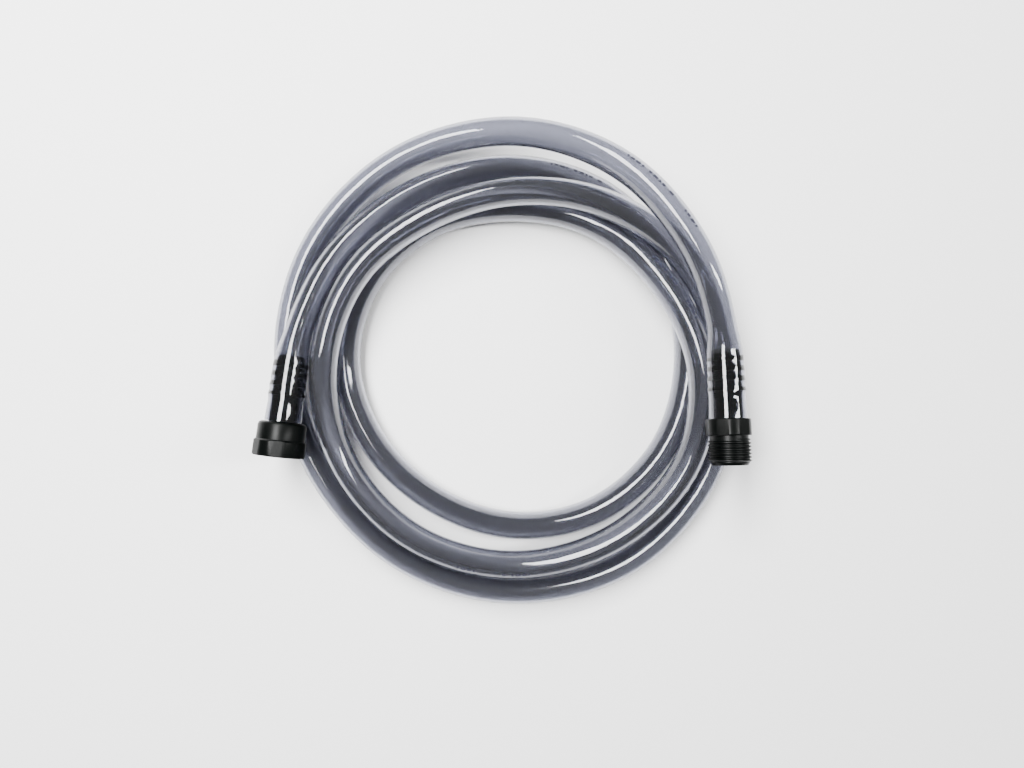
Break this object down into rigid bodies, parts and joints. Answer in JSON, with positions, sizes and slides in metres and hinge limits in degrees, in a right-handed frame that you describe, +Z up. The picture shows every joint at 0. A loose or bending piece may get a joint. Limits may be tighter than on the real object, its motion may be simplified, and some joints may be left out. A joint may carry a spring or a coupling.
{
  "type": "drain hose",
  "caption": "Loosely coiled clear vinyl drain hose with a black threaded barb fitting in each end, one with a male hose thread and one with a female socket.",
  "frame": {"origin": "on the floor, at the middle of the coil's outline seen from above", "axes": "+Z up from the floor; -Y is where both fittings point, with the male fitting on the +X side"},
  "size_m": [0.3316, 0.3368, 0.0825],
  "materials": {
    "clear_vinyl": "smooth, clear, faintly grey-violet",
    "black_nylon": "semi-gloss moulded black"
  },
  "bodies": {
    "root": {"hose": "clear_vinyl", "male_thread_fitting": "black_nylon", "female_thread_fitting": "black_nylon"}
  },
  "joints": []
}
